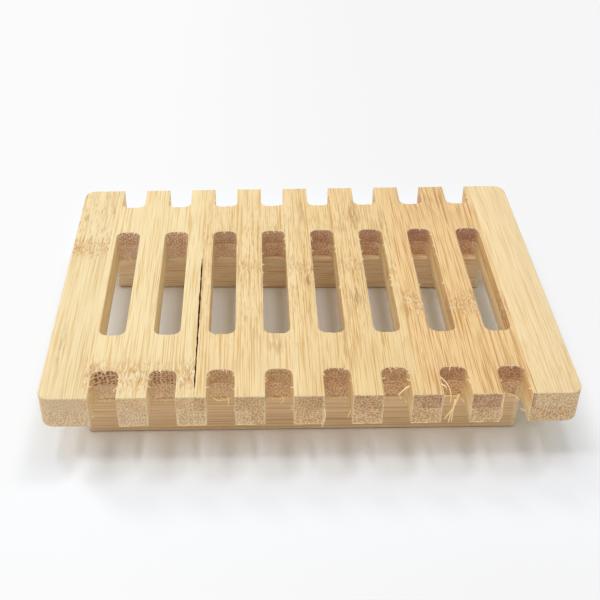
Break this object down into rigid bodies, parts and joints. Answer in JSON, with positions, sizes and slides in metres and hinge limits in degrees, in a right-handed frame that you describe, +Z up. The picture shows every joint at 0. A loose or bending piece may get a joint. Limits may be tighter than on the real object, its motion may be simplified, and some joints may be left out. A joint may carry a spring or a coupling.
{
  "type": "soap dish",
  "caption": "Slatted bamboo soap dish: a flat board with long drain slots and notched long edges, raised on two rails.",
  "frame": {"origin": "middle of the dish, on the surface that the rails stand on", "axes": "+X to the right along the long side, +Y to the back along the slots, +Z up"},
  "size_m": [0.12, 0.09, 0.0183],
  "materials": {
    "upper_bamboo": "planed and sanded bamboo, unvarnished",
    "lower_bamboo": "planed and sanded bamboo, unvarnished",
    "rail_bamboo": "sawn and sanded bamboo, unvarnished"
  },
  "bodies": {
    "root": {"upper_strip_1": "upper_bamboo", "upper_strip_2": "upper_bamboo", "upper_strip_3": "upper_bamboo", "upper_strip_4": "upper_bamboo", "upper_strip_5": "upper_bamboo", "upper_strip_6": "upper_bamboo", "lower_strip_1": "lower_bamboo", "lower_strip_2": "lower_bamboo", "lower_strip_3": "lower_bamboo", "lower_strip_4": "lower_bamboo", "lower_strip_5": "lower_bamboo", "front_rail": "rail_bamboo", "rear_rail": "rail_bamboo"}
  },
  "joints": []
}
